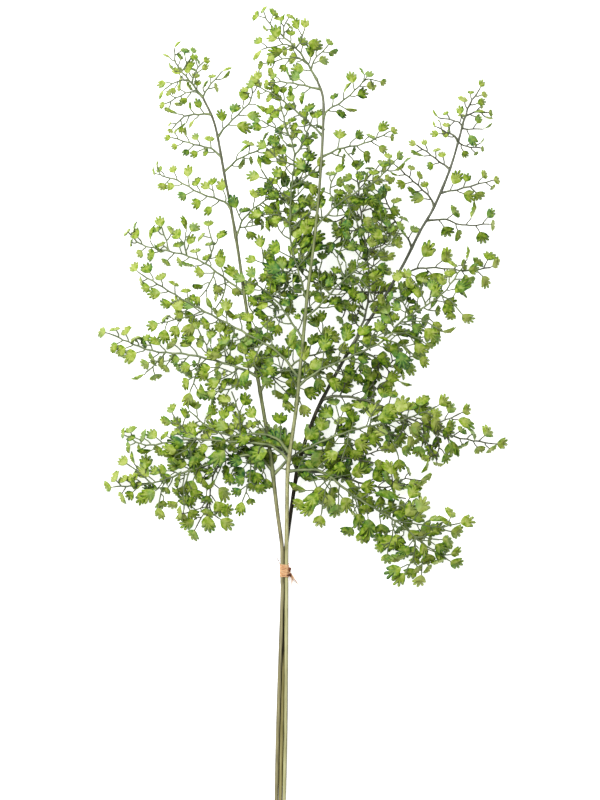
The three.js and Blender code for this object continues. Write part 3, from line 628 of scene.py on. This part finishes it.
    def mesh(self, name):
        """The lines, and a loose point for each leaflet with what it needs."""
        bare = len(self.points)
        ends, turns, sizes, kinds, tints = zip(*self.leaves)
        self.points += ends
        self.thickness += [0.0] * len(ends)
        mesh = super().mesh(name)
        for label, kind, on_lines, on_leaflets in (
            ("leafy", "BOOLEAN", [False], [True] * len(ends)),
            ("turn", "QUATERNION", [1, 0, 0, 0], [number for turn in turns for number in turn]),
            ("size", "FLOAT", [0], [size * MM for size in sizes]),
            ("kind", "INT", [0], list(kinds)),
            ("tint", "FLOAT", [0.35], list(tints)),
        ):
            give(mesh, label, kind, on_lines * bare + on_leaflets)
        return mesh


# ---- materials ----

def linear(colour):
    """An sRGB hex colour such as "#8fae3c" as a linear RGBA tuple."""
    channels = [int(colour[i:i + 2], 16) / 255 for i in (1, 3, 5)]
    return (*(c / 12.92 if c <= 0.04045 else ((c + 0.055) / 1.055) ** 2.4 for c in channels), 1.0)


def feed(node, inputs):
    """Gives a node's sockets, by name or number, a value, an output, or a node's first output."""
    for socket, value in inputs.items():
        if isinstance(value, bpy.types.Node):
            value = value.outputs[0]
        if isinstance(value, bpy.types.NodeSocket):
            node.id_data.links.new(value, node.inputs[socket])
        else:
            node.inputs[socket].default_value = value


def add(tree, kind, inputs=None, stops=(), **settings):
    """Adds a node, with stops as the places and colours of a colour ramp."""
    node = tree.nodes.new(kind)
    for key, value in settings.items():
        setattr(node, key, value)
    feed(node, inputs or {})
    for number, (place, colour) in enumerate(stops):
        elements = node.color_ramp.elements
        element = elements[number] if number < 2 else elements.new(place)
        element.position = place
        element.color = linear(colour)
    return node


def new_material(name):
    material = bpy.data.materials.new(name)
    material.use_nodes = True
    tree = material.node_tree
    tree.nodes.clear()
    shader = add(tree, "ShaderNodeBsdfPrincipled")
    add(tree, "ShaderNodeOutputMaterial", {"Surface": shader})
    return material, tree, shader, add(tree, "ShaderNodeTexCoord").outputs["Object"]


def leaf_material():
    # Printed polyester, heat-pressed into shape: a satin sheen, a colour that drifts from leaflet
    #     # to leaflet and within it, bluer in places, darker with the painted shade that the tint
    #     # carries, and paler raised ribs along the fingers.
    material, tree, shader, coords = new_material("pressed_polyester_leaf")
    tint = add(tree, "ShaderNodeAttribute", attribute_name="tint").outputs["Fac"]
    vein = add(tree, "ShaderNodeAttribute", attribute_name="vein").outputs["Fac"]
    patches = add(tree, "ShaderNodeTexNoise", {"Vector": coords, "Scale": 1 / (3 * MM), "Detail": 3})
    drift = add(tree, "ShaderNodeMath", {0: patches, 1: 0.5}, operation="SUBTRACT")
    mottled = add(tree, "ShaderNodeMath", {0: drift, 1: 1.7, 2: tint}, operation="MULTIPLY_ADD")
    inward = add(tree, "ShaderNodeMath", {0: vein, 1: 0.3}, operation="SUBTRACT")
    place = add(tree, "ShaderNodeMath", {0: inward, 1: 0.52, 2: mottled}, operation="MULTIPLY_ADD")
    base = add(tree, "ShaderNodeValToRGB", {"Fac": place}, stops=(
        (0.0, "#0c2c08"), (0.15, "#2c5000"), (0.45, "#688a12"), (0.7, "#8ca22e"), (1.0, "#a8b55c"),
    ))
    spread = add(tree, "ShaderNodeTexNoise", {"Vector": coords, "Scale": 1 / (16 * MM), "Detail": 1})
    cool = add(tree, "ShaderNodeMapRange", {
        "Value": spread, "From Min": 0.52, "From Max": 0.7, "To Max": 0.45,
    })
    hue = add(tree, "ShaderNodeMix", {0: cool, 6: base, 7: linear("#3f8050")}, data_type="RGBA")
    rib = add(tree, "ShaderNodeMath", {0: vein, 1: 3.0}, operation="POWER")
    faint = add(tree, "ShaderNodeMath", {0: rib, 1: 0.25}, operation="MULTIPLY")
    pale = add(tree, "ShaderNodeMix", {
        0: faint, 6: hue.outputs[2], 7: linear("#a8b460"),
    }, data_type="RGBA")
    grain = add(tree, "ShaderNodeTexNoise", {"Vector": coords, "Scale": 1 / (0.8 * MM), "Detail": 2})
    relief = add(tree, "ShaderNodeMath", {0: grain, 1: 0.4, 2: vein}, operation="MULTIPLY_ADD")
    bump = add(tree, "ShaderNodeBump", {"Height": relief, "Strength": 0.35, "Distance": 0.4 * MM})
    gloss = add(tree, "ShaderNodeMapRange", {"Value": patches, "To Min": 0.28, "To Max": 0.52})
    feed(shader, {"Base Color": pale.outputs[2], "Roughness": gloss, "Normal": bump,
                  "Specular IOR Level": 0.18})
    return material


def painted_side_shade(tree, amount):
    """A shift of a tube's colours towards the dark ones on its sides, as painted
    shade where the surface turns away from the light above."""
    upward = add(tree, "ShaderNodeAttribute", attribute_name="upward").outputs["Fac"]
    return add(tree, "ShaderNodeMapRange", {
        "Value": upward, "From Min": 0.15, "From Max": 0.9, "To Min": -amount, "To Max": 0.0,
    })


def stalk_material(name, *colours):
    # Soft moulded polyethylene: matt, dark to pale in patches of about 9 mm, paler where thick, with
    # painted shade on its sides.
    material, tree, shader, coords = new_material(name)
    patches = add(tree, "ShaderNodeTexNoise", {"Vector": coords, "Scale": 1 / (9 * MM), "Detail": 4})
    thickness = add(tree, "ShaderNodeAttribute", attribute_name="thickness").outputs["Fac"]
    paler = add(tree, "ShaderNodeMapRange", {
        "Value": thickness, "From Min": 0.5 * MM, "From Max": 1.3 * MM,
        "To Min": -0.05, "To Max": 0.17,
    })
    place = add(tree, "ShaderNodeMath", {0: patches, 1: paler})
    # painted shade: darker on the tube's sides, away from the light above
    side_shaded = add(tree, "ShaderNodeMath", {0: place, 1: painted_side_shade(tree, 0.3)})
    base = add(tree, "ShaderNodeValToRGB", {"Fac": side_shaded}, stops=zip((0.3, 0.5, 0.75), colours))
    feed(shader, {"Base Color": base, "Roughness": 0.55})
    return material


def stem_material(name, *stretches):
    # Extruded polyethylene over wire, brushed with thinned paint that runs along the stem in
    #     # streaks about 1 mm wide and 30 mm long, with painted shade on its sides. Each stretch of the
    #     # stem, from the cut end up, has its colours from dark streaks to pale ones, and where it
    #     takes
    #     # over from the one before.
    material, tree, shader, coords = new_material(name)
    stretched = add(tree, "ShaderNodeMapping",
                    {"Vector": coords, "Scale": (1 / MM, 1 / (30 * MM), 1 / MM)})
    streaks = add(tree, "ShaderNodeTexNoise", {
        "Vector": stretched, "Scale": 0.9, "Detail": 4, "Roughness": 0.6,
    })
    # painted shade: darker on the stem's sides, away from the light above
    side_shaded = add(tree, "ShaderNodeMath", {0: streaks, 1: painted_side_shade(tree, 0.46)})
    axes = add(tree, "ShaderNodeSeparateXYZ", {"Vector": coords})
    paint = None
    for colours, *change in stretches:
        stretch = add(tree, "ShaderNodeValToRGB", {"Fac": side_shaded},
                      stops=zip((0.15, 0.45, 0.75), colours))
        if change:
            start, end = (to_frame((0, y, 0))[1] for y in change)
            share = add(tree, "ShaderNodeMapRange",
                        {"Value": axes.outputs["Y"], "From Min": start, "From Max": end})
            stretch = add(tree, "ShaderNodeMix", {0: share, 6: paint, 7: stretch},
                          data_type="RGBA").outputs[2]
        paint = stretch
    bump = add(tree, "ShaderNodeBump", {"Height": streaks, "Strength": 0.3, "Distance": 0.3 * MM})
    feed(shader, {"Base Color": paint, "Normal": bump, "Roughness": 0.5, "Specular IOR Level": 0.3})
    return material


def raffia_material(name, *colours):
    # Dried palm fibre: matt, with darker fibres about 0.4 mm apart.
    material, tree, shader, coords = new_material(name)
    fibres = add(tree, "ShaderNodeMapping",
                 {"Vector": coords, "Scale": (1 / (3 * MM), 1 / (0.4 * MM), 1 / (3 * MM))})
    noise = add(tree, "ShaderNodeTexNoise", {"Vector": fibres, "Scale": 1, "Detail": 3})
    base = add(tree, "ShaderNodeValToRGB", {"Fac": noise}, stops=zip((0.3, 0.5, 0.7), colours))
    bump = add(tree, "ShaderNodeBump", {"Height": noise, "Strength": 0.5, "Distance": 0.3 * MM})
    feed(shader, {"Base Color": base, "Normal": bump, "Roughness": 0.8})
    return material


LEAF = leaf_material()
STALK = stalk_material("moulded_polyethylene_stalk", "#46542c", "#66744a", "#8c9864")
# Darker stalks for the right spray: painted shade, as that spray lies lowest, under the other two.
SHADED_STALK = stalk_material("moulded_polyethylene_dark_stalk", "#2e2f1a", "#525840", "#7a7f60")
RAFFIA = raffia_material("dried_raffia", "#b2744a", "#dcaa7c", "#efd6a6")
DARK_RAFFIA = raffia_material("dried_raffia_dark_fold", "#1f1206", "#5e2c12", "#a05a34")
STEMS = {
    "left": stem_material(
        "painted_polyethylene_olive_brown", (("#3b3520", "#918a64", "#bab488"),),
        (("#3a4024", "#6d744a", "#9ba173"), 240, 300),
        (("#282a1c", "#545741", "#85886e"), 460, 560),
    ),
    "centre": stem_material(
        "painted_polyethylene_olive", (("#4c4a28", "#b0ad7b", "#d4d3a4"),),
        (("#424a28", "#7d8657", "#a6ae7e"), 260, 380),
        (("#2e311f", "#62664c", "#90947a"), 520, 600),
    ),
    "right": stem_material(
        "painted_polyethylene_dark_brown", (("#3f3818", "#8e8550", "#b3aa76"),),
        # Dark brown, deepened to near black by painted shade where the stem runs under the other two.
        (("#080500", "#1e1804", "#4a3f22"), 125, 140),
        (("#22251a", "#565a4a", "#7e8272"), 330, 430),
    ),
}


# ---- geometry nodes: tubes along lines, leaflets on points ----

def growth_tree():
    tree = bpy.data.node_groups.new("grow_spray", "GeometryNodeTree")
    for name, kind, way in (
        ("Geometry", "Geometry", "INPUT"), ("Leaflets", "Collection", "INPUT"),
        ("Tube sides", "Int", "INPUT"), ("Tube material", "Material", "INPUT"),
        ("Leaf material", "Material", "INPUT"), ("Geometry", "Geometry", "OUTPUT"),
    ):
        tree.interface.new_socket(name, in_out=way, socket_type="NodeSocket" + kind)
    given = add(tree, "NodeGroupInput").outputs
    of_point = {}
    for name, kind in (("thickness", "FLOAT"), ("leafy", "BOOLEAN"), ("kind", "INT"),
                       ("turn", "QUATERNION"), ("size", "FLOAT"), ("blade", "BOOLEAN")):
        node = add(tree, "GeometryNodeInputNamedAttribute", {"Name": name}, data_type=kind)
        of_point[name] = node.outputs["Attribute"]
    lines = add(tree, "GeometryNodeMeshToCurve", {"Mesh": given["Geometry"]})
    ring = add(tree, "GeometryNodeCurvePrimitiveCircle",
               {"Resolution": given["Tube sides"], "Radius": 1.0})
    tubes = add(tree, "GeometryNodeCurveToMesh", {
        "Curve": lines, "Profile Curve": ring, "Scale": of_point["thickness"], "Fill Caps": True,
    })
    shapes = add(tree, "GeometryNodeCollectionInfo", {
        "Collection": given["Leaflets"], "Separate Children": True, "Reset Children": True,
    })
    leaflets = add(tree, "GeometryNodeInstanceOnPoints", {
        "Points": given["Geometry"], "Selection": of_point["leafy"], "Instance": shapes,
        "Pick Instance": True, "Instance Index": of_point["kind"], "Rotation": of_point["turn"],
        "Scale": of_point["size"],
    })
    both = add(tree, "GeometryNodeJoinGeometry", {"Geometry": tubes})
    feed(both, {"Geometry": leaflets})
    real = add(tree, "GeometryNodeRealizeInstances", {"Geometry": both})
    stalks = add(tree, "GeometryNodeSetMaterial",
                 {"Geometry": real, "Material": given["Tube material"]})
    blades = add(tree, "GeometryNodeSetMaterial", {
        "Geometry": stalks, "Selection": of_point["blade"], "Material": given["Leaf material"],
    })
    add(tree, "NodeGroupOutput", {0: blades})
    return tree


GROWTH = growth_tree()


def grow(name, lines, node, inputs):
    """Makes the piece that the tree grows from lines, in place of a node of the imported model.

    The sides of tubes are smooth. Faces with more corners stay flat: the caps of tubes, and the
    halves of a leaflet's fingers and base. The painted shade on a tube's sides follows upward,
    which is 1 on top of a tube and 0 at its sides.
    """
    source = bpy.data.objects.new(name + "_lines", lines.mesh(name))
    bpy.context.scene.collection.objects.link(source)
    modifier = source.modifiers.new("grow", "NODES")
    modifier.node_group = GROWTH
    for item in GROWTH.interface.items_tree:
        if item.in_out == "INPUT" and item.name in inputs:
            modifier[item.identifier] = inputs[item.name]
    graph = bpy.context.evaluated_depsgraph_get()
    made = bpy.data.meshes.new_from_object(source.evaluated_get(graph))
    bpy.data.objects.remove(source)
    made.name = name
    for polygon in made.polygons:
        polygon.use_smooth = len(polygon.vertices) <= 4
    normals = np.empty(3 * len(made.vertices), np.float32)
    made.vertex_normals.foreach_get("vector", normals)
    # upward drives the painted shade on the sides of tubes
    give(made, "upward", "FLOAT", normals[2::3].copy())
    piece = bpy.data.objects.new(name, made)
    bpy.context.scene.collection.objects.link(piece)
    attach(piece, "root")
    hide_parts(node)


# ---- stems and their branches ----

def build_stem(name, stem, feet):
    """A tapered stem that swells where branches leave it and at the sleeve of its upper piece."""
    marks = np.append(np.arange(0, stem.length, STEM_STEP), stem.length)
    radii = np.interp(marks, (0, *STEM_FULL, stem.length),
                      (STEM_RADIUS, STEM_FULL_RADIUS, STEM_FULL_RADIUS, STEM_TOP_RADIUS))
    for foot in feet:
        past = (marks - stem.distance_at(foot)) / STEM_SWELL_LENGTH
        radii *= 1 + STEM_SWELL * np.exp(-(past ** 2))
    past = marks - stem.distance_at(SLEEVES[name])
    lower, upper = SLEEVE_SLOPES
    radii *= 1 + SLEEVE_SWELL * (1 / (1 + np.exp(-past / lower))) * (
        1 / (1 + np.exp((past - SLEEVE_LENGTH) / upper)))
    lines = Lines()
    lines.line([stem.at(mark) for mark in marks], radii)
    grow(f"{name}_main_stem", lines, f"{name}_stem",
         {"Tube sides": STEM_SIDES, "Tube material": STEMS[name]})


def build_foliage(node, path, foot_y, foot_radius, reach):
    height = (foot_y - LEAF_LOW_Y) / (LEAF_HIGH_Y - LEAF_LOW_Y)
    foliage = Foliage(node, min(1.0, max(0.0, height)))
    foliage.branch(path, foot_radius, reach)
    for number, row in enumerate(OFFSHOOTS.get(node, ())):
        foliage.offshoot(path, pairs(row), number)
    # the right spray's stalks carry painted shade, as it lies under the others
    stalk = SHADED_STALK if node.startswith("right") else STALK
    grow(f"{node}_foliage", foliage, node, {
        "Tube sides": STALK_SIDES, "Tube material": stalk, "Leaflets": LEAFLET_SHAPES,
        "Leaf material": LEAF,
    })


def branch_path(start, rise, route):
    """A path over the points of route. rise is how far it rises half way and at its end."""
    sag, end = rise
    points = [start]
    for i, (x, y) in enumerate(route):
        t = (i + 1) / len(route)
        points.append((x, y, start.z + (2 * end - 4 * sag) * t * t + (4 * sag - end) * t))
    return Path(points)


STEM_PATHS = {name: Path(points) for name, points in STEM_POINTS.items()}
for name, stem in STEM_PATHS.items():
    own = {node: row for node, row in BRANCHES.items() if node.startswith(name + "_")}
    build_stem(name, stem, [row[0] for row in own.values()])
    for node, (foot, rise, reach, route) in own.items():
        path = branch_path(stem.at(stem.distance_at(foot)), rise, pairs(route))
        radius = between(RACHIS_RADIUS, min(1, max(0, (foot - LEAF_LOW_Y) / RACHIS_CHANGE)))
        build_foliage(node, path, foot, radius, reach)
    top = stem.at(stem.length)
    build_foliage(f"{name}_tip", Path([top, *TIP_POINTS[name]]), top.y, STEM_TOP_RADIUS,
                  TIP_REACH[name])


# ---- raffia tie ----

TIE_START = 204
TIE_LENGTH = 13
TIE_TURNS = 6
TIE_STEPS = 26              # points in one turn
TIE_FIBRES = 5
STRAND_RADIUS = 0.36
STRAND_SIDES = 7
KNOT_ALONG = 5.5            # from the start of the tie
KNOT_OUT = 0.7              # from the stems
KNOT_ANGLE = 0.25           # round them, from +X
KNOT_LOOPS = 4
LOOP_SIZE = (1.4, 3.6, 0.8)
FOLD_RADIUS = 0.6
FRAYS = 16
FRAY_LEAN = 0.75            # sideways, as a share of its length, at most
FRAY_LENGTH = (7, 13)
FRAY_RADIUS = (0.34, 0.12)
TOP_FRAYS = 4
TOP_FRAY_LEAN = 0.3
TOP_FRAY_LENGTH = (4, 9)
TOP_FRAY_RADIUS = (0.24, 0.1)


def tie_outline(offset, angle):
    """The point at that angle round the three stems, offset outside them."""
    out = Vector((math.cos(angle), 0, math.sin(angle)))
    middle_y = TIE_START + TIE_LENGTH / 2
    middles = [stem.at(stem.distance_at(middle_y)) for stem in STEM_PATHS.values()]
    outermost = max(middles, key=lambda point: point.dot(out))
    return Vector((outermost.x, 0, outermost.z)) + out * (STEM_FULL_RADIUS + offset)


def build_tie():
    rng = random.Random(5)
    binding, folds = Lines(), Lines()
    for fibre in range(TIE_FIBRES):
        places, radii = [], []
        begin = rng.uniform(0, 2 * math.pi)
        for i in range(TIE_TURNS * TIE_STEPS):
            turn = i / TIE_STEPS
            angle = begin + 2 * math.pi * turn
            place = tie_outline(STRAND_RADIUS * (0.7 + 0.6 * math.sin(1.7 * turn + fibre)), angle)
            share = (turn + fibre / TIE_FIBRES) / (TIE_TURNS + 1 - 1 / TIE_FIBRES)
            place.y = TIE_START + STRAND_RADIUS + share * (TIE_LENGTH - 2 * STRAND_RADIUS)
            places.append(place)
            radii.append(STRAND_RADIUS * rng.uniform(0.85, 1.15))
        binding.line(places, radii)
    knot = tie_outline(KNOT_OUT, KNOT_ANGLE) + Vector((0, TIE_START + KNOT_ALONG, 0))
    a, b, c = LOOP_SIZE
    for loop in range(KNOT_LOOPS):
        tilt = Euler((0.3 * loop, 0.8, 0.3 * loop - 0.3)).to_matrix()
        ring = [
            knot + Vector((a * math.cos(turn), b * math.sin(turn), c * math.sin(2 * turn))) @ tilt
            for turn in np.linspace(0, 5.8, 18)
        ]
        folds.line(ring, [FOLD_RADIUS] * len(ring))
    for fray in range(FRAYS):
        lean = rng.uniform(0.0, FRAY_LEAN)
        length = rng.uniform(*FRAY_LENGTH)
        sway = rng.uniform(-1.5, 1.5)
        places = []
        for t in np.linspace(0, 1, 7):
            x = lean * length * t + 0.6 * math.sin(3 * t + sway)
            z = -1.5 * t * t + rng.uniform(-0.5, 0.5)
            places.append(knot + Vector((x, -length * t, z)))
        (binding if fray % 4 else folds).line(places, np.linspace(*FRAY_RADIUS, len(places)))
    upper = tie_outline(0.3, math.pi) + Vector((0, TIE_START + TIE_LENGTH - 1, 0))
    for _ in range(TOP_FRAYS):
        length = rng.uniform(*TOP_FRAY_LENGTH)
        places = []
        for t in np.linspace(0, 1, 6):
            x = -TOP_FRAY_LEAN * length * t * (1 + t) * rng.uniform(0.7, 1.1)
            places.append(upper + Vector((x, length * t, 0.5 * t)))
        folds.line(places, np.linspace(*TOP_FRAY_RADIUS, len(places)))
    for name, lines, material in (
        ("raffia_binding", binding, RAFFIA), ("raffia_dark_folds", folds, DARK_RAFFIA),
    ):
        grow(name, lines, "raffia_tie", {"Tube sides": STRAND_SIDES, "Tube material": material})


build_tie()


# ---- floor, light and camera ----

VIEW_HEIGHT = 700           # of the picture, in layout millimetres
VIEW_MIDDLE = 360.5         # layout y at the middle of the picture
CAMERA_HEIGHT = 5.0         # this and the lengths below are in metres
LEVEL = 0.03                # most of the foliage lies this high
FLOOR_SIZE = 12
KEY_PLACE = Vector((-1.2, 1.3, 2.2))
KEY_SIZE = 1.2
KEY_POWER = 78              # watts
SKY_STRENGTH = 0.52


def build_stage():
    scene = bpy.context.scene
    bpy.ops.mesh.primitive_plane_add(size=FLOOR_SIZE)
    floor = bpy.context.object
    floor.name = "floor"
    # Pale paper that glows faintly, so that it stays white and nearly without shadows.
    material, _, shader, _ = new_material("matt_white_paper")
    feed(shader, {"Base Color": linear("#f4f4f2"), "Roughness": 0.9,
                  "Emission Color": linear("#ffffff"), "Emission Strength": 0.8})
    floor.data.materials.append(material)

    world = bpy.data.worlds.new("studio")
    world.use_nodes = True
    feed(world.node_tree.nodes["Background"], {"Color": linear("#ffffff"), "Strength": SKY_STRENGTH})
    scene.world = world

    key = bpy.data.lights.new("key", "AREA")
    key.shape = "DISK"
    key.size = KEY_SIZE
    key.energy = KEY_POWER
    lamp = bpy.data.objects.new("key", key)
    lamp.location = KEY_PLACE
    lamp.rotation_euler = (-KEY_PLACE).to_track_quat("-Z", "Y").to_euler()
    scene.collection.objects.link(lamp)

    camera = bpy.data.cameras.new("camera")
    camera.sensor_fit = "VERTICAL"
    camera.lens = camera.sensor_height * (CAMERA_HEIGHT - LEVEL) / (VIEW_HEIGHT * MM)
    camera.clip_end = 10 * CAMERA_HEIGHT
    viewer = bpy.data.objects.new("camera", camera)
    x, y, _ = to_frame((0, VIEW_MIDDLE, 0))
    viewer.location = (x, y, CAMERA_HEIGHT)
    scene.collection.objects.link(viewer)
    scene.camera = viewer
    scene.view_settings.view_transform = "Standard"


build_stage()

bpy.context.view_layer.update()
